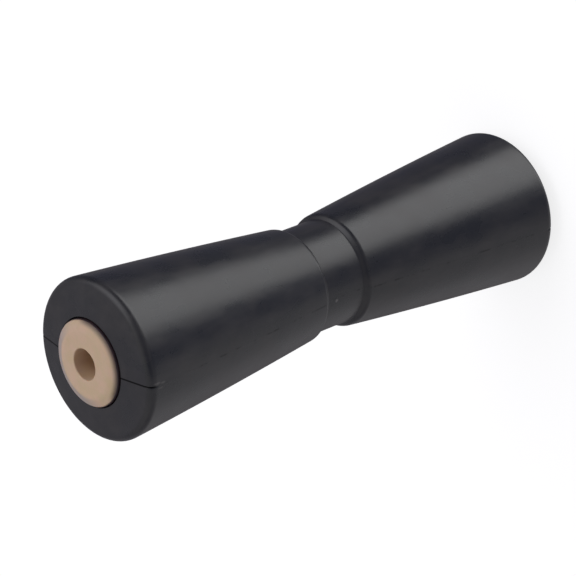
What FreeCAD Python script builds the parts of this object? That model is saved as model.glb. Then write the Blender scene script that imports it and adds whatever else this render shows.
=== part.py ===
import FreeCAD, Part
import os

import Sketcher

# Boat trailer keel roller: one moulded rubber body, shaped like two cones set
# nose to nose on a straight neck, with a flanged nylon bush pressed into each
# end. The roller stands on the face of its lower bush, with its axis along +Z.

# Driving dimensions in millimetres. Each becomes a named cell of the sheet.
SIZES = {
    # Rubber body, outside.
    "rubber_length": 298.8,  # between the planes where cones and end faces meet
    "rim_diameter": 89.2,  # at those planes, before the rims are rounded
    "rim_round": 4.5,
    "brow_diameter": 64.0,  # small end of each cone
    "brow_spacing": 30.6,  # between the two small ends
    "neck_diameter": 58.4,
    "neck_length": 24.6,  # between the feet of the two steps
    "face_rise": 3.5,  # how far the end face rises from the rim to its pocket
    # Seats for the bushes in the rubber.
    "pocket_clearance": 0.5,  # radial gap round the flange
    # Nylon bush.
    "flange_diameter": 47.2,
    "flange_thickness": 9.0,
    "flange_proud": 3.4,  # how far the flange stands out of the rubber
    "flange_chamfer": 2.1,
    "spigot_diameter": 34.0,
    "spigot_length": 46.0,
    "bore_diameter": 17.0,  # clears a 16 mm spindle
}

SHEET = "Sizes"
MATCH_TOLERANCE = 0.001

# Places worked out from the sheet, as expressions that several pieces share.
# Heights are measured from the middle of the roller.
RIM_RADIUS = f"({SHEET}.rim_diameter / 2)"
RIM_HEIGHT = f"({SHEET}.rubber_length / 2)"
BROW_RADIUS = f"({SHEET}.brow_diameter / 2)"
BROW_HEIGHT = f"({SHEET}.brow_spacing / 2)"
NECK_RADIUS = f"({SHEET}.neck_diameter / 2)"
NECK_HEIGHT = f"({SHEET}.neck_length / 2)"
FLANGE_RADIUS = f"({SHEET}.flange_diameter / 2)"
SPIGOT_RADIUS = f"({SHEET}.spigot_diameter / 2)"
BORE_RADIUS = f"({SHEET}.bore_diameter / 2)"
POCKET_RADIUS = f"({FLANGE_RADIUS} + {SHEET}.pocket_clearance)"
MOUTH_HEIGHT = f"({RIM_HEIGHT} + {SHEET}.face_rise)"
BUSH_FACE_HEIGHT = f"({MOUTH_HEIGHT} + {SHEET}.flange_proud)"
POCKET_FLOOR_HEIGHT = f"({BUSH_FACE_HEIGHT} - {SHEET}.flange_thickness)"

# Places on a bush, measured from its own outer face, which looks up.
FLANGE_BACK = f"(-{SHEET}.flange_thickness)"
SPIGOT_END = f"(-{SHEET}.flange_thickness - {SHEET}.spigot_length)"


def add_sheet(doc):
    """Write the driving dimensions into the document's spreadsheet."""
    sheet = doc.addObject("Spreadsheet::Sheet", SHEET)
    for row, (alias, value) in enumerate(SIZES.items(), start=1):
        sheet.set(f"A{row}", alias)
        sheet.set(f"B{row}", str(value))
        sheet.setAlias(f"B{row}", alias)
    doc.recompute()


def evaluate(doc, expression):
    """Return the number that an expression over the sheet gives."""
    return float(doc.getObject(SHEET).evalExpression(expression))


def origin_plane(body, role):
    """Return one of the body's own origin planes."""
    return next(item for item in body.Origin.OriginFeatures if item.Role == role)


def add_half_section(body, name, corners, rounds=None):
    """Draw a closed half section, with its corners and rounds bound to the sheet.

    corners maps each corner's name to its (radius, height) expressions, going
    anticlockwise. rounds maps some of those names to the cell with their radius.
    """
    doc = body.Document
    sketch = body.newObject("Sketcher::SketchObject", name)
    sketch.AttachmentSupport = [(origin_plane(body, "XZ_Plane"), "")]
    sketch.MapMode = "FlatFace"
    places = [
        FreeCAD.Vector(evaluate(doc, radius), evaluate(doc, height), 0)
        for radius, height in corners.values()
    ]
    count = len(places)
    for side in range(count):
        line = Part.LineSegment(places[side], places[(side + 1) % count])
        sketch.addGeometry(line, False)
    for side in range(count):
        following = (side + 1) % count
        sketch.addConstraint(Sketcher.Constraint("Coincident", side, 2, following, 1))
    for side, (corner, place) in enumerate(zip(corners, places)):
        fix_distance(sketch, "DistanceX", side, place.x, f"{corner}_radius")
        fix_distance(sketch, "DistanceY", side, place.y, f"{corner}_height")
    sides = {corner: side for side, corner in enumerate(corners)}
    for corner, cell in (rounds or {}).items():
        round_corner(sketch, sides[corner], corner, cell)
    for corner, (radius, height) in corners.items():
        sketch.setExpression(f"Constraints.{corner}_radius", radius)
        sketch.setExpression(f"Constraints.{corner}_height", height)
    return sketch


def fix_distance(sketch, kind, side, value, name):
    """Fix where a side starts, measured from the sketch's origin."""
    index = sketch.addConstraint(Sketcher.Constraint(kind, -1, 1, side, 1, value))
    sketch.renameConstraint(index, name)


def round_corner(sketch, side, corner, cell):
    """Round the corner that a side starts at, and keep its sharp point as a guide."""
    radius = evaluate(sketch.Document, f"{SHEET}.{cell}")
    arc = sketch.GeometryCount
    sketch.fillet(side, 1, radius, True, True)
    index = sketch.addConstraint(Sketcher.Constraint("Radius", arc, radius))
    sketch.renameConstraint(index, f"{corner}_round")
    sketch.setExpression(f"Constraints.{corner}_round", f"{SHEET}.{cell}")


def revolve(body, name, sketch):
    """Turn a half section through a full circle about the body's axis."""
    revolution = body.newObject("PartDesign::Revolution", name)
    revolution.Profile = sketch
    revolution.ReferenceAxis = (sketch, ["V_Axis"])
    revolution.Angle = 360.0
    body.Document.recompute()
    return revolution


def ring_edge(body, radius, height):
    """Name the circular edge of the body's last feature at a radius and height."""
    wanted_radius = evaluate(body.Document, radius)
    wanted_height = evaluate(body.Document, height)
    for number, edge in enumerate(body.Tip.Shape.Edges, start=1):
        if not isinstance(edge.Curve, Part.Circle):
            continue
        radius_error = abs(edge.Curve.Radius - wanted_radius)
        height_error = abs(edge.Curve.Center.z - wanted_height)
        if max(radius_error, height_error) < MATCH_TOLERANCE:
            return f"Edge{number}"
    raise RuntimeError(f"{body.Label} has no edge at radius {radius}, height {height}")


def chamfer_ring(body, name, cell, place):
    """Chamfer the circular edge at a (radius, height) place."""
    base = body.Tip
    edge = ring_edge(body, *place)
    chamfer = body.newObject("PartDesign::Chamfer", name)
    chamfer.Base = (base, [edge])
    chamfer.setExpression("Size", f"{SHEET}.{cell}")
    body.Document.recompute()


def make_roller_body(doc):
    """Moulded rubber: long cones, a stepped neck, tapered end faces and bush seats."""
    body = doc.addObject("PartDesign::Body", "RollerBody")
    body.Label = "roller_body"
    corners = {
        "hole": (SPIGOT_RADIUS, "0"),
        "waist": (NECK_RADIUS, "0"),
        "foot": (NECK_RADIUS, NECK_HEIGHT),
        "brow": (BROW_RADIUS, BROW_HEIGHT),
        "rim": (RIM_RADIUS, RIM_HEIGHT),
        "mouth": (POCKET_RADIUS, MOUTH_HEIGHT),
        "pocket": (POCKET_RADIUS, POCKET_FLOOR_HEIGHT),
        "seat": (SPIGOT_RADIUS, POCKET_FLOOR_HEIGHT),
    }
    section = add_half_section(body, "UpperHalfSection", corners, {"rim": "rim_round"})
    upper_half = revolve(body, "UpperHalf", section)
    mirrored = body.newObject("PartDesign::Mirrored", "LowerHalf")
    mirrored.Originals = [upper_half]
    mirrored.MirrorPlane = (origin_plane(body, "XY_Plane"), [""])
    body.Tip = mirrored
    doc.recompute()
    body.setExpression("Placement.Base.z", BUSH_FACE_HEIGHT)
    return body


def make_bush(doc, label):
    """Nylon bush: flange and spigot turned about the bore, outer face at its origin."""
    body = doc.addObject("PartDesign::Body", label)
    body.Label = label
    corners = {
        "bore_end": (BORE_RADIUS, SPIGOT_END),
        "spigot_end": (SPIGOT_RADIUS, SPIGOT_END),
        "spigot": (SPIGOT_RADIUS, FLANGE_BACK),
        "flange_back": (FLANGE_RADIUS, FLANGE_BACK),
        "flange": (FLANGE_RADIUS, "0"),
        "bore": (BORE_RADIUS, "0"),
    }
    revolve(body, "Turned", add_half_section(body, "HalfSection", corners))
    chamfer_ring(body, "FlangeChamfer", "flange_chamfer", corners["flange"])
    return body


def make_upper_bush(doc):
    """The bush in the top end, with its face up."""
    bush = make_bush(doc, "upper_bush")
    bush.setExpression("Placement.Base.z", f"2 * {BUSH_FACE_HEIGHT}")
    return bush


def make_lower_bush(doc):
    """The same bush turned over, so that its face is what the roller stands on."""
    bush = make_bush(doc, "lower_bush")
    bush.Placement = FreeCAD.Placement(
        FreeCAD.Vector(0, 0, 0), FreeCAD.Rotation(FreeCAD.Vector(1, 0, 0), 180)
    )
    return bush


def check(doc, pieces):
    """Stop on any failed feature, and on any piece that isn't one valid solid."""
    for item in doc.Objects:
        if "Invalid" in item.State or "Error" in item.State:
            raise RuntimeError(f"{item.Name} failed: {item.State}")
    for piece in pieces:
        shape = piece.Shape
        if shape.isNull() or not shape.isValid() or len(shape.Solids) != 1:
            raise RuntimeError(f"{piece.Label} is not one valid solid")


def main():
    """Build the roller and write one file for each piece."""
    doc = FreeCAD.newDocument("KeelRoller")
    add_sheet(doc)
    pieces = [make_roller_body(doc), make_upper_bush(doc), make_lower_bush(doc)]
    doc.recompute()
    check(doc, pieces)
    os.makedirs("parts", exist_ok=True)
    for piece in pieces:
        piece.Shape.exportStep(os.path.join("parts", f"{piece.Label}.step"))
        box = piece.Shape.BoundBox
        print(f"{piece.Label}: {piece.Shape.Volume:.0f} mm3, z {box.ZMin:.2f} to {box.ZMax:.2f}")


main()
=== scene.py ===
import math

import bmesh
import bpy
from mathutils import Matrix, Vector, noise


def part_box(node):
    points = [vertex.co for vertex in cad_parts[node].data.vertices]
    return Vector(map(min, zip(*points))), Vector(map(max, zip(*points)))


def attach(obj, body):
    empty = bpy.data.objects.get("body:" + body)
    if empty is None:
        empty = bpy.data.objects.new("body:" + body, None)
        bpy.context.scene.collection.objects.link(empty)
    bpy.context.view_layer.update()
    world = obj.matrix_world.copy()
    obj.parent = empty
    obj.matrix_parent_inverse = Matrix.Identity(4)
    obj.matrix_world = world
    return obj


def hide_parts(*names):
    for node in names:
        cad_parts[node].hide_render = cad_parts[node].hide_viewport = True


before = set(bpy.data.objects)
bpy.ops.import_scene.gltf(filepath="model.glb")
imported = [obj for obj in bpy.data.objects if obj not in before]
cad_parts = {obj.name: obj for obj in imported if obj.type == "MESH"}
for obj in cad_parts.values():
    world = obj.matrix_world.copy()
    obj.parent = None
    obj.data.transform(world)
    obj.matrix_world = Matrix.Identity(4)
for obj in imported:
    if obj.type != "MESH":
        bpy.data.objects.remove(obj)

# A boat trailer's keel roller: a black rubber body, moulded in two mould halves,
# with a natural nylon bush pressed into each end. It stands on its lower bush.
# Lengths are in metres in the file, and written in millimetres times MM.

bl_info = {
    "name": "Keel roller",
    "version": (1, 0, 0),
    "blender": (4, 5, 0),
    "location": "View3D > Sidebar > Keel roller",
    "description": "Models and finishes a boat trailer's keel roller, and its studio",
    "category": "Add Mesh",
}

MM = 0.001
MERGE = 0.001 * MM  # closer than this, two points are one
AROUND = 240  # faces round the axis

BODY_LOW, BODY_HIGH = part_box("roller_body")
UPPER_LOW, UPPER_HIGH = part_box("upper_bush")
MIDDLE = (BODY_LOW.z + BODY_HIGH.z) / 2  # height of the roller's middle
FLANGE_RADIUS = UPPER_HIGH.x


def linear(hex_colour):
    """Turn an sRGB hex colour into the linear values that shaders take."""
    channels = [int(hex_colour[i : i + 2], 16) / 255 for i in (1, 3, 5)]
    return [
        value / 12.92 if value <= 0.04045 else ((value + 0.055) / 1.055) ** 2.4
        for value in channels
    ]


def length(name, description, default):
    """A length that a user can change."""
    return bpy.props.FloatProperty(
        name=name, description=description, default=default, min=0.0,
        precision=5, unit="LENGTH",
    )


def colour(name, description, hex_colour):
    """A colour that a user can change."""
    return bpy.props.FloatVectorProperty(
        name=name, description=description, default=linear(hex_colour),
        min=0.0, max=1.0, size=3, subtype="COLOR",
    )


class KEELROLLER_PG_body(bpy.types.PropertyGroup):
    """Sizes and colours of the rubber body."""

    rim_radius: length("Rim radius", "Radius where a cone meets its end face", 44.45 * MM)
    rim_height: length("Rim height", "From the middle to the plane of a rim", 149.4 * MM)
    rim_round: length("Rim round", "Radius of the rounded rim", 4.5 * MM)
    brow_radius: length("Brow radius", "Radius of a cone's small end", 31.95 * MM)
    brow_height: length("Brow height", "From the middle to a cone's small end", 15.5 * MM)
    crown: length("Crown", "How far a cone's side swells out half way along", 0.5 * MM)
    brow_round: length("Brow round", "Radius on the cone's small end", 3.6 * MM)
    neck_radius: length("Neck radius", "Radius of the straight neck", 29.25 * MM)
    neck_height: length("Neck height", "From the middle to the foot of a step", 13.15 * MM)
    foot_round: length("Foot round", "Radius in the corner at the foot of a step", 1.2 * MM)
    pocket_radius: length("Pocket radius", "Radius of the seat for a flange", 24.1 * MM)
    pocket_height: length("Pocket height", "From the middle to its floor", 147.3 * MM)
    mouth_round: length("Mouth round", "Radius of the lip round a bush", 0.5 * MM)
    hole_radius: length("Hole radius", "Radius of the hole for the spigots", 17.0 * MM)
    parting_depth: length("Parting depth", "Depth of the notch in each rim", 0.4 * MM)
    parting_width: length("Parting width", "Width of the dark parting line", 1.1 * MM)
    flash_height: length("Flash height", "Height of the flash along the sides", 0.05 * MM)
    rubber: colour("Rubber", "Black rubber where it is clean", "#232427")
    bloom: colour("Bloom", "Greyer rubber where the skin has bloomed", "#2b2a2b")
    dust: colour("Dust", "Pale dust in the skin", "#444140")
    nick: colour("Nick", "Rubber laid bare by a nick", "#9a9591")


class KEELROLLER_PG_bush(bpy.types.PropertyGroup):
    """Sizes and colours of the two bushes."""

    flange_thickness: length("Flange thickness", "Along the axis", 9.0 * MM)
    spigot_radius: length("Spigot radius", "Radius of the part in the rubber", 17.0 * MM)
    bore_radius: length("Bore radius", "Radius of the bore for the spindle", 8.5 * MM)
    edge_width: length("Edge width", "How far in the face starts to fall away", 5.0 * MM)
    edge_depth: length("Edge depth", "How far the face falls to its edge", 2.0 * MM)
    edge_round: length("Edge round", "Radius on the flange's outer edge", 1.6 * MM)
    shoulder_round: length("Shoulder round", "Radius where the face falls away", 8.0 * MM)
    bore_round: length("Bore round", "Radius on the mouth of the bore", 0.6 * MM)
    nylon: colour("Nylon", "Natural nylon", "#e3c3a6")
    stain: colour("Stain", "Nylon that has yellowed and taken up oil", "#dac19a")
    # Painted sheen: a grey tint on one side of the flange's sloped edge stands in for a
    # reflection.
    painted_sheen: colour("Scuff", "Nylon that is rubbed grey on one side", "#bbaca3")
    # Painted shade: a dark colour at the flange's foot and on the other side of its sloped
    # edge.
    painted_shade: colour("Grime", "Rubber dust and oil at the foot of the flange", "#37262a")
    # Painted shade: a darker, browner colour on the wall of the bore.
    oil: colour("Oil", "Nylon that grease has browned, in the bore", "#ccae8c")


class KEELROLLER_PG_stage(bpy.types.PropertyGroup):
    """Sizes and colours of the studio."""

    floor_side: length("Floor side", "Side of the square floor", 8.0)
    floor_glow: bpy.props.FloatProperty(
        name="Floor glow", description="Light that the floor gives to the camera",
        default=0.8, min=0.0,
    )
    floor_paint: colour("Floor paint", "Takes the roller's shadow", "#a9a9a9")


def settings():
    """The scene's sizes and colours for the body, the bushes and the stage."""
    scene = bpy.context.scene
    return scene.keelroller_body, scene.keelroller_bush, scene.keelroller_stage


# Shapes


def draw_section(bm, places, closed=False):
    """Draw a half section from (radius, height) places, and return its edges."""
    points = [bm.verts.new((radius, 0.0, height)) for radius, height in places]
    ends = points[1:] + points[:1] if closed else points[1:]
    return [bm.edges.new(pair) for pair in zip(points, ends)]


def turn_about_axis(bm):
    """Turn a half section through a full circle about the roller's axis."""
    bmesh.ops.spin(
        bm, geom=bm.verts[:] + bm.edges[:], cent=(0, 0, 0), axis=(0, 0, 1),
        angle=2 * math.pi, steps=AROUND, use_merge=True,
    )
    bmesh.ops.remove_doubles(bm, verts=bm.verts[:], dist=MERGE)
    bmesh.ops.recalc_face_normals(bm, faces=bm.faces[:])


def is_at(vert, radius, height):
    """Say whether a point lies on the ring at a radius and height."""
    return (
        abs(math.hypot(vert.co.x, vert.co.y) - radius) < 10 * MERGE
        and abs(vert.co.z - height) < 10 * MERGE
    )


def round_ring(bm, before, corner, after, radius, segments):
    """Round the ring at a corner of the section, between its two neighbours."""
    arriving = Vector(corner) - Vector(before)
    leaving = Vector(after) - Vector(corner)
    ring = [
        edge for edge in bm.edges
        if all(is_at(vert, *corner) for vert in edge.verts)
    ]
    bmesh.ops.bevel(
        bm, geom=ring, offset=radius * math.tan(arriving.angle(leaving) / 2),
        offset_type="OFFSET", segments=segments, profile=0.5, affect="EDGES",
        material=-1, clamp_overlap=True,
    )


def finish_piece(bm, name, material, node):
    """Make the object for a shape, and let it stand for its node in the frame."""
    mesh = bpy.data.meshes.new(name)
    bm.to_mesh(mesh)
    bm.free()
    mesh.shade_smooth()
    mesh.materials.append(material)
    piece = bpy.data.objects.new(name, mesh)
    bpy.context.scene.collection.objects.link(piece)
    weigh = piece.modifiers.new("Even shading", "WEIGHTED_NORMAL")
    weigh.mode = "FACE_AREA"
    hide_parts(node)
    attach(piece, "root")
    return piece


# Section of the parting line. The faces are cut at two distances from the parting
# plane: the line is deepest or highest at the plane and runs out at the outer cut.
INNER_CUT = 0.25 * MM
OUTER_CUT = 0.6 * MM
INNER_SHARE = 0.6  # of the line's depth or height, at the inner cut
END_FACE_SHARE = 0.1  # of the rim notch's depth, across an end face
POCKET_MARGIN = 0.2 * MM  # the line stops this far outside the pocket
FLASH_WAVE = 9 * MM  # length of the flash's ups and downs
FLASH_MEAN = 0.4  # of the flash's height
FLASH_SWING = 1.2  # of the flash's height, times noise between -1 and 1


def cut_beside_parting_plane(bm):
    """Cut lines through the faces on both sides of the mould's parting plane."""
    for distance in (INNER_CUT, OUTER_CUT):
        for side in (-1, 1):
            bmesh.ops.bisect_plane(
                bm, geom=bm.verts[:] + bm.edges[:] + bm.faces[:], dist=MERGE,
                plane_co=(0, side * distance, 0), plane_no=(0, 1, 0),
            )


def mark_parting_line(bm, sizes):
    """Sink the parting line into the ends, and raise its flash along the sides."""
    cut_beside_parting_plane(bm)
    bm.normal_update()
    shifts = []
    for vert in bm.verts:
        radius = math.hypot(vert.co.x, vert.co.y)
        beside = abs(vert.co.y)
        past_outer_cut = beside > (INNER_CUT + OUTER_CUT) / 2
        if past_outer_cut or radius < sizes.pocket_radius + POCKET_MARGIN:
            continue
        share = 1.0 if beside < INNER_CUT / 2 else INNER_SHARE
        if abs(vert.co.z) > sizes.rim_height - sizes.rim_round:
            on_rim = radius > sizes.rim_radius - sizes.rim_round
            shift = -sizes.parting_depth * (1.0 if on_rim else END_FACE_SHARE)
        else:
            wave = noise.noise(Vector((0, 0, vert.co.z / FLASH_WAVE)))
            shift = sizes.flash_height * max(0.0, FLASH_MEAN + FLASH_SWING * wave)
        shifts.append((vert, vert.normal * shift * share))
    for vert, shift in shifts:
        vert.co += shift


def swell_cone(divided, sizes):
    """Give a cone's side its crown, none at its ends and all of it half way along."""
    cone_height = sizes.rim_height - sizes.brow_height
    for item in divided["geom_inner"]:
        if isinstance(item, bmesh.types.BMVert):
            along = (item.co.z - sizes.brow_height) / cone_height
            item.co.x += sizes.crown * 4 * along * (1 - along)  # a parabola


def make_body_mesh(sizes):
    """Draw the upper half of the section, mirror it, turn it and round its rings."""
    places = [
        (sizes.hole_radius, 0.0),
        (sizes.hole_radius, sizes.pocket_height),
        (sizes.pocket_radius, sizes.pocket_height),
        (sizes.pocket_radius, BODY_HIGH.z - MIDDLE),
        (sizes.rim_radius, sizes.rim_height),
        (sizes.brow_radius, sizes.brow_height),
        (sizes.neck_radius, sizes.neck_height),
        (sizes.neck_radius, 0.0),
    ]
    # The round at a place in the section, and its segments.
    rounds = {
        3: (sizes.mouth_round, 4),
        4: (sizes.rim_round, 12),
        5: (sizes.brow_round, 6),
        6: (sizes.foot_round, 6),
    }
    bm = bmesh.new()
    hole, _seat, _pocket, face, cone, _step, neck = draw_section(bm, places)
    # The long sides are divided, so that no face is much longer than it is wide.
    bmesh.ops.subdivide_edges(bm, edges=[hole], cuts=6)
    bmesh.ops.subdivide_edges(bm, edges=[face], cuts=3)
    swell_cone(bmesh.ops.subdivide_edges(bm, edges=[cone], cuts=24), sizes)
    bmesh.ops.subdivide_edges(bm, edges=[neck], cuts=2)
    bmesh.ops.mirror(
        bm, geom=bm.verts[:] + bm.edges[:], matrix=Matrix.Identity(4),
        merge_dist=MERGE, axis="Z",
    )
    turn_about_axis(bm)
    for index, (radius, segments) in rounds.items():
        for side in (1, -1):
            before, corner, after = [
                (place[0], side * place[1]) for place in places[index - 1 : index + 2]
            ]
            round_ring(bm, before, corner, after, radius, segments)
    mark_parting_line(bm, sizes)
    bmesh.ops.translate(bm, verts=bm.verts[:], vec=(0, 0, MIDDLE))
    bmesh.ops.recalc_face_normals(bm, faces=bm.faces[:])
    return bm


def make_bush_mesh(sizes):
    """Turn a bush about its bore, with its outer face up in the plane z = 0."""
    end = UPPER_LOW.z - UPPER_HIGH.z
    places = [
        (sizes.bore_radius, 0.0),
        (sizes.bore_radius, end),
        (sizes.spigot_radius, end),
        (sizes.spigot_radius, -sizes.flange_thickness),
        (FLANGE_RADIUS, -sizes.flange_thickness),
        (FLANGE_RADIUS, -sizes.edge_depth),
        (FLANGE_RADIUS - sizes.edge_width, 0.0),
    ]
    bm = bmesh.new()
    bore, _end, spigot, _back, _wall, _edge, face = draw_section(bm, places, closed=True)
    bmesh.ops.subdivide_edges(bm, edges=[bore, spigot], cuts=10)
    bmesh.ops.subdivide_edges(bm, edges=[face], cuts=5)
    turn_about_axis(bm)
    round_ring(bm, places[4], places[5], places[6], sizes.edge_round, 6)
    round_ring(bm, places[5], places[6], places[0], sizes.shoulder_round, 6)
    round_ring(bm, places[6], places[0], places[1], sizes.bore_round, 5)
    bmesh.ops.recalc_face_normals(bm, faces=bm.faces[:])
    return bm


# Materials


def add_node(tree, kind, inputs=None, output=0, **settings):
    """Add a shader node, set it up, set or link its inputs, and return an output."""
    node = tree.nodes.new("ShaderNode" + kind)
    for name, value in settings.items():
        setattr(node, name, value)
    for socket, value in (inputs or {}).items():
        if isinstance(value, bpy.types.NodeSocket):
            tree.links.new(value, node.inputs[socket])
        else:
            node.inputs[socket].default_value = value
    return node.outputs[output]


SOFT = {"interpolation_type": "SMOOTHSTEP"}  # for a Map Range node with soft ends
COLOUR = {"data_type": "RGBA", "output": "Result"}  # for a Mix node of colours
BLACK = (*linear("#000000"), 1.0)
WHITE = (*linear("#ffffff"), 1.0)

# Real sizes that the patterns take their scale from. The two grains are too fine to
# show in a picture of the whole roller, and are drawn as coarse as they need to show.
BLOOM_PATCH = 22 * MM
DUST_STREAK = 8 * MM
DUST_STRETCH = 0.3  # less is longer: wiping has drawn the dust out along the axis
FLASH_BREAK = 7 * MM
MOULD_WAVE = 16 * MM
WAVE_HEIGHT = 0.6 * MM
MOULD_GRAIN = 0.9 * MM  # really about 0.1 mm: marks from polishing the mould
NYLON_CLOUD = 9 * MM
NYLON_GRAIN = 0.7 * MM  # really about 0.1 mm: marks from the lathe's tool
GRAIN_HEIGHT = 0.1 * MM

# Nicks in the rubber: x, y and height from the middle in mm, how each is stretched
# along the axis (1 is round, less is longer), its radius in mm, and how strongly its
# pale colour shows.
NICKS = (
    (29.2, -1.4, 6.9, 1.0, 1.4, 0.32),
    (44.0, 1.6, 145.5, 0.25, 0.8, 0.2),
    (43.7, 0.9, 141.5, 0.3, 0.8, 0.15),
    (43.6, -1.5, 143.5, 0.25, 0.8, 0.14),
)

# Direction from the axis to the side of each flange whose sloped edge gets a painted
# grey sheen. The other side of the edge gets painted shade.
SHEEN_SIDE = (-0.85, -0.53)


def new_material(name):
    """Start a material, and return it with its node tree and main shader."""
    material = bpy.data.materials.new(name)
    material.use_nodes = True
    tree = material.node_tree
    return material, tree, tree.nodes["Principled BSDF"]


def measure_from_axis(tree, place):
    """Give how far a place on the surface is from the roller's axis."""
    flat = add_node(
        tree, "VectorMath", {0: place, 1: (1.0, 1.0, 0.0)}, operation="MULTIPLY"
    )
    return add_node(tree, "VectorMath", {0: flat}, output="Value", operation="LENGTH")


def measure_from_middle(tree, place):
    """Give how far a place on the surface is from the roller's middle, along the axis."""
    height = add_node(tree, "SeparateXYZ", {"Vector": place}, output="Z")
    above = add_node(tree, "Math", {0: height, 1: MIDDLE}, operation="SUBTRACT")
    return add_node(tree, "Math", {0: above}, operation="ABSOLUTE")


def mask_parting_line(tree, place, sizes):
    """Give 1 along the parting line: whole on the ends, and in dashes on the sides."""
    # Dark at its middle, and gone just past its width.
    half = sizes.parting_width / 2
    across = add_node(tree, "SeparateXYZ", {"Vector": place}, output="Y")
    beside = add_node(tree, "Math", {0: across}, operation="ABSOLUTE")
    line = add_node(tree, "MapRange", {
        "Value": beside, "From Min": 0.3 * half, "From Max": 1.3 * half,
        "To Min": 1.0, "To Max": 0.0,
    }, **SOFT)
    # It shows all along the ends, and on the sides only where the flash has torn.
    on_end = add_node(tree, "MapRange", {
        "Value": measure_from_middle(tree, place),
        "From Min": sizes.rim_height - sizes.rim_round,
        "From Max": sizes.rim_height - 2 * MM,
    }, **SOFT)
    breaks = add_node(tree, "TexNoise", {
        "Vector": place, "Scale": 1 / FLASH_BREAK, "Detail": 3.0, "Roughness": 0.55,
    })
    dashes = add_node(tree, "MapRange", {
        "Value": breaks, "From Min": 0.48, "From Max": 0.62, "To Max": 0.38,
    }, **SOFT)
    shown = add_node(tree, "Math", {0: on_end, 1: dashes}, operation="MAXIMUM")
    return add_node(tree, "Math", {0: line, 1: shown}, operation="MULTIPLY")


def mask_nick(tree, place, x, y, height, stretch, radius, share):
    """Give how strongly a nick shows, which fades to nothing at its radius."""
    centre = (x * MM, y * MM, (MIDDLE + height * MM) * stretch)
    shaped = add_node(
        tree, "VectorMath", {0: place, 1: (1.0, 1.0, stretch)}, operation="MULTIPLY"
    )
    away = add_node(
        tree, "VectorMath", {0: shaped, 1: centre}, output="Value", operation="DISTANCE"
    )
    return add_node(tree, "MapRange", {
        "Value": away, "From Min": 0.2 * radius * MM, "From Max": radius * MM,
        "To Min": share, "To Max": 0.0,
    }, **SOFT)


# Natural rubber filled with carbon black, pressed in a polished steel mould. The
# black swallows nearly all light, so what the eye gets is a soft satin reflection,
# broken by fine grain, by slow waves in the skin, and by patches where wax has
# bloomed and greyed it. Faint dust is drawn out in streaks along the axis.
def make_rubber(sizes):
    """Make the finish of the body: satin moulded black rubber."""
    material, tree, shader = new_material("Satin moulded black rubber")
    place = add_node(tree, "TexCoord", output="Object")

    patches = add_node(tree, "TexNoise", {
        "Vector": place, "Scale": 1 / BLOOM_PATCH, "Detail": 4.0, "Roughness": 0.6,
    })
    bloomed = add_node(tree, "MapRange", {
        "Value": patches, "From Min": 0.35, "From Max": 0.7,
    }, **SOFT)
    skin = add_node(tree, "Mix", {
        "Factor": bloomed, "A": (*sizes.rubber, 1.0), "B": (*sizes.bloom, 1.0),
    }, **COLOUR)
    drawn_out = add_node(
        tree, "VectorMath", {0: place, 1: (1.0, 1.0, DUST_STRETCH)}, operation="MULTIPLY"
    )
    streaks = add_node(tree, "TexNoise", {
        "Vector": drawn_out, "Scale": 1 / DUST_STREAK, "Detail": 2.0, "Roughness": 0.5,
    })
    dust = add_node(tree, "MapRange", {
        "Value": streaks, "From Min": 0.35, "From Max": 0.8, "To Max": 0.3,
    }, **SOFT)
    skin = add_node(tree, "Mix", {
        "Factor": dust, "A": skin, "B": (*sizes.dust, 1.0),
    }, **COLOUR)

    # Along the parting line the colour is painted black and the usual specular level of
    # 0.5 is down to 0.1: painted shade in the fine groove between the mould halves.
    line = mask_parting_line(tree, place, sizes)
    skin = add_node(tree, "Mix", {
        "Factor": line, "A": skin, "B": BLACK,
    }, **COLOUR)
    shine = add_node(tree, "Math", {0: line, 1: -0.4, 2: 0.5}, operation="MULTIPLY_ADD")
    tree.links.new(shine, shader.inputs["Specular IOR Level"])

    for nick in NICKS:
        skin = add_node(tree, "Mix", {
            "Factor": mask_nick(tree, place, *nick), "A": skin, "B": (*sizes.nick, 1.0),
        }, **COLOUR)
    tree.links.new(skin, shader.inputs["Base Color"])

    # Satin where it is clean, and a little duller under bloom and dust.
    gloss = add_node(tree, "MapRange", {
        "Value": patches, "From Min": 0.3, "From Max": 0.7, "To Min": 0.25, "To Max": 0.32,
    }, **SOFT)
    gloss = add_node(tree, "Math", {0: dust, 1: 0.2, 2: gloss}, operation="MULTIPLY_ADD")
    tree.links.new(gloss, shader.inputs["Roughness"])

    grain = add_node(tree, "TexNoise", {
        "Vector": place, "Scale": 1 / MOULD_GRAIN, "Detail": 3.0, "Roughness": 0.55,
    })
    fine = add_node(tree, "Bump", {
        "Height": grain, "Strength": 0.12, "Distance": GRAIN_HEIGHT,
    })
    waves = add_node(tree, "TexNoise", {
        "Vector": place, "Scale": 1 / MOULD_WAVE, "Detail": 2.0, "Roughness": 0.5,
    })
    broad = add_node(tree, "Bump", {
        "Height": waves, "Strength": 0.3, "Distance": WAVE_HEIGHT, "Normal": fine,
    })
    tree.links.new(broad, shader.inputs["Normal"])
    shader.inputs["IOR"].default_value = 1.5
    return material


def mask_painted_sheen(tree, radius, lean):
    """Give 1 on the flange's sloped edge, on the side that gets the painted sheen."""
    on_edge = add_node(tree, "MapRange", {
        "Value": radius,
        "From Min": FLANGE_RADIUS - 6 * MM, "From Max": FLANGE_RADIUS - 4 * MM,
    }, **SOFT)
    on_side = add_node(tree, "MapRange", {
        "Value": lean, "From Min": -0.1, "From Max": 0.7,
    }, **SOFT)
    return add_node(tree, "Math", {0: on_edge, 1: on_side}, operation="MULTIPLY")


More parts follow.
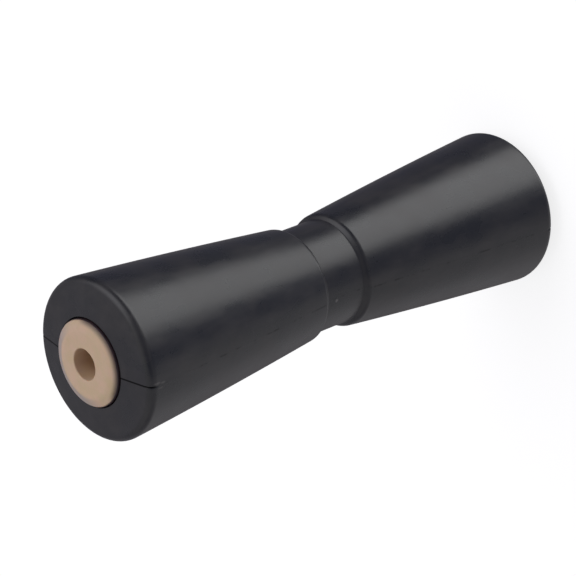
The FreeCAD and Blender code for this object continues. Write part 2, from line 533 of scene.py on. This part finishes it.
def mask_painted_shade(tree, radius, height, lean, sizes):
    """Give 1 where shade is painted: the flange's foot, and its edge on the other side."""
    foot_height = UPPER_HIGH.z - MIDDLE - sizes.edge_depth
    low = add_node(tree, "MapRange", {
        "Value": height,
        "From Min": foot_height - 0.5 * MM, "From Max": foot_height + 0.4 * MM,
        "To Min": 1.0, "To Max": 0.0,
    }, **SOFT)
    outside = add_node(tree, "MapRange", {
        "Value": radius,
        "From Min": FLANGE_RADIUS - 4 * MM, "From Max": FLANGE_RADIUS - 3 * MM,
    }, **SOFT)
    foot = add_node(tree, "Math", {0: low, 1: outside}, operation="MULTIPLY")
    on_edge = add_node(tree, "MapRange", {
        "Value": radius,
        "From Min": FLANGE_RADIUS - 3.3 * MM, "From Max": FLANGE_RADIUS + 0.4 * MM,
        "To Max": 0.92,
    }, **SOFT)
    on_side = add_node(tree, "MapRange", {
        "Value": lean, "From Min": -0.2, "From Max": -0.55,
    }, **SOFT)
    shaded_edge = add_node(tree, "Math", {0: on_edge, 1: on_side}, operation="MULTIPLY")
    return add_node(tree, "Math", {0: foot, 1: shaded_edge}, operation="MAXIMUM")


# Natural cast nylon, turned on a lathe and left as cut. It is a waxy cream that lets
# a little light in, so its edges glow and its shadows stay warm. Grease has yellowed
# it in clouds. The bore's wall is painted darker and browner as painted shade, one
# side of the flange's sloped edge is tinted grey as a painted sheen, and painted shade
# darkens its foot and the other side of its edge.
def make_nylon(sizes):
    """Make the finish of the bushes: matt natural nylon."""
    material, tree, shader = new_material("Matt natural nylon")
    place = add_node(tree, "TexCoord", output="Object")
    radius = measure_from_axis(tree, place)
    height = measure_from_middle(tree, place)
    # How far a place leans to the side with the painted sheen: 1 at the flange's edge
    # there, and -1 at the edge on the other side, where shade is painted.
    towards = (*(part / FLANGE_RADIUS for part in SHEEN_SIDE), 0.0)
    lean = add_node(
        tree, "VectorMath", {0: place, 1: towards}, output="Value", operation="DOT_PRODUCT"
    )

    clouds = add_node(tree, "TexNoise", {
        "Vector": place, "Scale": 1 / NYLON_CLOUD, "Detail": 4.0, "Roughness": 0.6,
    })
    stained = add_node(tree, "MapRange", {
        "Value": clouds, "From Min": 0.35, "From Max": 0.7,
    }, **SOFT)
    tint = add_node(tree, "Mix", {
        "Factor": stained, "A": (*sizes.nylon, 1.0), "B": (*sizes.stain, 1.0),
    }, **COLOUR)
    # Painted sheen: one side of the flange's sloped edge is tinted grey.
    tint = add_node(tree, "Mix", {
        "Factor": mask_painted_sheen(tree, radius, lean),
        "A": tint, "B": (*sizes.painted_sheen, 1.0),
    }, **COLOUR)
    # Painted shade at the flange's foot and on the side of its edge away from the painted
    # sheen.
    tint = add_node(tree, "Mix", {
        "Factor": mask_painted_shade(tree, radius, height, lean, sizes),
        "A": tint, "B": (*sizes.painted_shade, 1.0),
    }, **COLOUR)
    # Painted shade in the bore: its wall is tinted darker and browner.
    bore_shade_share = add_node(tree, "MapRange", {
        "Value": radius,
        "From Min": sizes.bore_radius + 0.1 * MM, "From Max": sizes.bore_radius + 0.7 * MM,
        "To Min": 0.6, "To Max": 0.0,
    }, **SOFT)
    tint = add_node(tree, "Mix", {
        "Factor": bore_shade_share, "A": tint, "B": (*sizes.oil, 1.0),
    }, **COLOUR)
    tree.links.new(tint, shader.inputs["Base Color"])

    grain = add_node(tree, "TexNoise", {
        "Vector": place, "Scale": 1 / NYLON_GRAIN, "Detail": 3.0, "Roughness": 0.6,
    })
    dull = add_node(tree, "MapRange", {
        "Value": grain, "From Min": 0.3, "From Max": 0.7, "To Min": 0.46, "To Max": 0.58,
    }, **SOFT)
    tree.links.new(dull, shader.inputs["Roughness"])
    bump = add_node(tree, "Bump", {
        "Height": grain, "Strength": 0.1, "Distance": GRAIN_HEIGHT,
    })
    tree.links.new(bump, shader.inputs["Normal"])
    shader.inputs["IOR"].default_value = 1.53
    shader.inputs["Subsurface Weight"].default_value = 0.2
    shader.inputs["Subsurface Radius"].default_value = (1.0, 0.6, 0.35)
    shader.inputs["Subsurface Scale"].default_value = 2.0 * MM
    return material


# A sheet of matt white paper. It glows a little short of white and its paint takes
# up the rest from the light, so the eye gets a clean white with the roller's shadow.
def make_floor_material(sizes):
    """Make the finish of the floor: a matt white sweep."""
    material, tree, shader = new_material("Matt white sweep")
    tree.nodes.remove(shader)
    glow = add_node(tree, "Emission", {"Color": WHITE, "Strength": sizes.floor_glow})
    paint = add_node(tree, "BsdfDiffuse", {"Color": (*sizes.floor_paint, 1.0)})
    both = add_node(tree, "AddShader", {0: glow, 1: paint})
    tree.links.new(both, tree.nodes["Material Output"].inputs["Surface"])
    return material


# Stage


# Soft panels that hang round the roller, in the world. Each has the azimuth of its
# middle, half its width and the softness of its sides, all in degrees; its lower and
# upper edge, as the height of a direction (-1 to 1), and their softness; and its
# light, as a colour. A later one hangs in front of the ones before it.
ROOM_LIGHT = (0.54, 0.53, 0.55)
PANELS = {
    "dim side below": (-150, 48, 32, -1.3, 0.0, 0.25, (0.17, 0.16, 0.17)),
    "dark gap below the key light": (17, 25, 16, -1.3, 0.0, 0.2, (0.16, 0.17, 0.25)),
    "dark gap above the key light": (140, 39, 16, -1.3, 0.25, 0.2, (0.07, 0.072, 0.115)),
    "dim floor above the key light": (140, 39, 16, -1.3, -0.72, 0.16, (0.16, 0.162, 0.19)),
    "dark gap over the key light": (92, 30, 16, -0.3, 0.36, 0.16, (0.06, 0.06, 0.11)),
    "dark gap over the rim": (19, 38, 18, 0.15, 0.9, 0.2, (0.14, 0.145, 0.21)),
    "dark gap beside the steps": (-95, 40, 24, -0.38, 0.3, 0.14, (0.29, 0.28, 0.31)),
    "rear fill": (150, 60, 18, 0.4, 1.3, 0.16, (1.1, 1.07, 1.14)),
    "top softbox": (109, 26, 20, 0.45, 1.3, 0.16, (1.85, 1.84, 1.95)),
    "key softbox": (72, 29.5, 14, -1.3, -0.21, 0.12, (1.75, 1.76, 1.77)),
    "key softbox, middle": (72, 29.5, 14, -0.68, -0.21, 0.14, (2.6, 2.6, 2.62)),
    "dim wall before the near end": (-150, 48, 24, 0.0, 0.75, 0.15, (0.27, 0.26, 0.29)),
    "shade on the near end": (-155, 45, 24, 0.5, 0.95, 0.12, (0.49, 0.475, 0.53)),
    "overhead softbox": (180, 90, 20, 0.92, 1.3, 0.04, (0.6, 0.6, 0.6)),
}


def hang_panel(tree, direction, light, panel):
    """Hang a soft-edged panel in the world, in front of the light so far."""
    middle, half_width, side_edge, bottom, top, end_edge, glow = panel
    turned = add_node(tree, "VectorRotate", {
        "Vector": direction, "Angle": -math.radians(middle),
    }, rotation_type="Z_AXIS")
    parts = add_node(tree, "SeparateXYZ", {"Vector": turned}).node.outputs
    azimuth = add_node(tree, "Math", {0: parts["Y"], 1: parts["X"]}, operation="ARCTAN2")
    away = add_node(tree, "Math", {0: azimuth}, operation="ABSOLUTE")
    # Each edge: what is measured, where, how softly, and 1 if the panel lies past it.
    edges = (
        (away, math.radians(half_width), math.radians(side_edge), -1),
        (parts["Z"], bottom, end_edge, 1),
        (parts["Z"], top, end_edge, -1),
    )
    mask = 1.0
    for value, place, softness, side in edges:
        inside = add_node(tree, "MapRange", {
            "Value": value,
            "From Min": place - side * softness, "From Max": place + side * softness,
        }, **SOFT)
        mask = add_node(tree, "Math", {0: mask, 1: inside}, operation="MULTIPLY")
    return add_node(tree, "Mix", {"Factor": mask, "A": light, "B": (*glow, 1.0)}, **COLOUR)


def make_world():
    """Light the roller with a room and soft panels, and show white behind it."""
    world = bpy.data.worlds.new("Soft studio")
    world.use_nodes = True
    tree = world.node_tree
    direction = add_node(tree, "TexCoord", output="Generated")
    light = (*ROOM_LIGHT, 1.0)
    for panel in PANELS.values():
        light = hang_panel(tree, direction, light, panel)
    seen = add_node(tree, "LightPath", output="Is Camera Ray")
    shown = add_node(tree, "Mix", {
        "Factor": seen, "A": light, "B": WHITE,
    }, **COLOUR)
    tree.links.new(shown, tree.nodes["Background"].inputs["Color"])
    world.cycles.sampling_method = "MANUAL"
    world.cycles.sample_map_resolution = 1024  # fine enough for the panels' edges
    bpy.context.scene.world = world


def make_floor(sizes):
    """Lay the floor that the roller stands on. Only the camera sees it."""
    bm = bmesh.new()
    bmesh.ops.create_grid(bm, x_segments=1, y_segments=1, size=sizes.floor_side / 2)
    mesh = bpy.data.meshes.new("floor")
    bm.to_mesh(mesh)
    bm.free()
    mesh.materials.append(make_floor_material(sizes))
    floor = bpy.data.objects.new("floor", mesh)
    bpy.context.scene.collection.objects.link(floor)
    floor.visible_diffuse = False
    floor.visible_glossy = False
    floor.visible_transmission = False
    floor.visible_shadow = False


# The camera that was fitted to the roller's outline in the photograph: its place in
# mm, the direction back from the roller to it, and its lens on a 36 mm sensor.
CAMERA_PLACE = (950.8, 587.9, 1064.1)
CAMERA_BACK = (0.6643, 0.4115, 0.6237)
CAMERA_LENS = 166.1
CAMERA_SENSOR = 36.0


def make_camera():
    """Look at the roller as the photograph does, with its +Y side up."""
    back = Vector(CAMERA_BACK).normalized()
    right = Vector((0, 1, 0)).cross(back).normalized()
    up = back.cross(right)
    data = bpy.data.cameras.new("camera")
    data.sensor_width = CAMERA_SENSOR
    data.lens = CAMERA_LENS
    data.clip_start = 10 * MM
    data.clip_end = 50.0
    camera = bpy.data.objects.new("camera", data)
    axes = Matrix((right, up, back)).transposed().to_4x4()
    camera.matrix_world = Matrix.Translation(Vector(CAMERA_PLACE) * MM) @ axes
    bpy.context.scene.collection.objects.link(camera)
    bpy.context.scene.camera = camera


# Operators


class KEELROLLER_OT_body(bpy.types.Operator):
    """Model the rubber body and give it its material."""

    bl_idname = "keelroller.body"
    bl_label = "Rubber body"
    bl_options = {"REGISTER", "UNDO"}

    def execute(self, context):
        sizes = context.scene.keelroller_body
        body = make_body_mesh(sizes)
        finish_piece(body, "rubber_body", make_rubber(sizes), "roller_body")
        return {"FINISHED"}


class KEELROLLER_OT_bushes(bpy.types.Operator):
    """Model the two nylon bushes and give them their material."""

    bl_idname = "keelroller.bushes"
    bl_label = "Nylon bushes"
    bl_options = {"REGISTER", "UNDO"}

    def execute(self, context):
        sizes = context.scene.keelroller_bush
        nylon = make_nylon(sizes)
        upper = make_bush_mesh(sizes)
        bmesh.ops.translate(upper, verts=upper.verts[:], vec=(0, 0, UPPER_HIGH.z))
        finish_piece(upper, "nylon_bush_upper", nylon, "upper_bush")
        lower = make_bush_mesh(sizes)
        upside_down = Matrix.Rotation(math.pi, 3, "X")
        bmesh.ops.rotate(lower, verts=lower.verts[:], cent=(0, 0, 0), matrix=upside_down)
        finish_piece(lower, "nylon_bush_lower", nylon, "lower_bush")
        return {"FINISHED"}


class KEELROLLER_OT_stage(bpy.types.Operator):
    """Lay the floor, hang the lights and set up the camera."""

    bl_idname = "keelroller.stage"
    bl_label = "Stage"
    bl_options = {"REGISTER", "UNDO"}

    def execute(self, context):
        make_floor(context.scene.keelroller_stage)
        make_world()
        make_camera()
        context.scene.view_settings.view_transform = "Standard"
        return {"FINISHED"}


class KEELROLLER_PT_panel(bpy.types.Panel):
    """Lists the steps that make the roller."""

    bl_idname = "KEELROLLER_PT_panel"
    bl_label = "Keel roller"
    bl_space_type = "VIEW_3D"
    bl_region_type = "UI"
    bl_category = "Keel roller"

    def draw(self, context):
        for operator in OPERATORS:
            self.layout.operator(operator.bl_idname)
        for group in settings():
            box = self.layout.box()
            for name in group.__annotations__:
                box.prop(group, name)


GROUPS = {
    "keelroller_body": KEELROLLER_PG_body,
    "keelroller_bush": KEELROLLER_PG_bush,
    "keelroller_stage": KEELROLLER_PG_stage,
}
OPERATORS = (KEELROLLER_OT_body, KEELROLLER_OT_bushes, KEELROLLER_OT_stage)
CLASSES = (*GROUPS.values(), *OPERATORS, KEELROLLER_PT_panel)


def register():
    """Make the classes known to Blender, and give the scene its sizes and colours."""
    for item in CLASSES:
        bpy.utils.register_class(item)
    for name, group in GROUPS.items():
        setattr(bpy.types.Scene, name, bpy.props.PointerProperty(type=group))


def unregister():
    """Take back what register did."""
    for name in GROUPS:
        delattr(bpy.types.Scene, name)
    for item in reversed(CLASSES):
        bpy.utils.unregister_class(item)


def main():
    """Make every piece and the stage."""
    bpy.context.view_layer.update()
    register()
    bpy.ops.keelroller.body()
    bpy.ops.keelroller.bushes()
    bpy.ops.keelroller.stage()


if __name__ == "__main__":
    main()
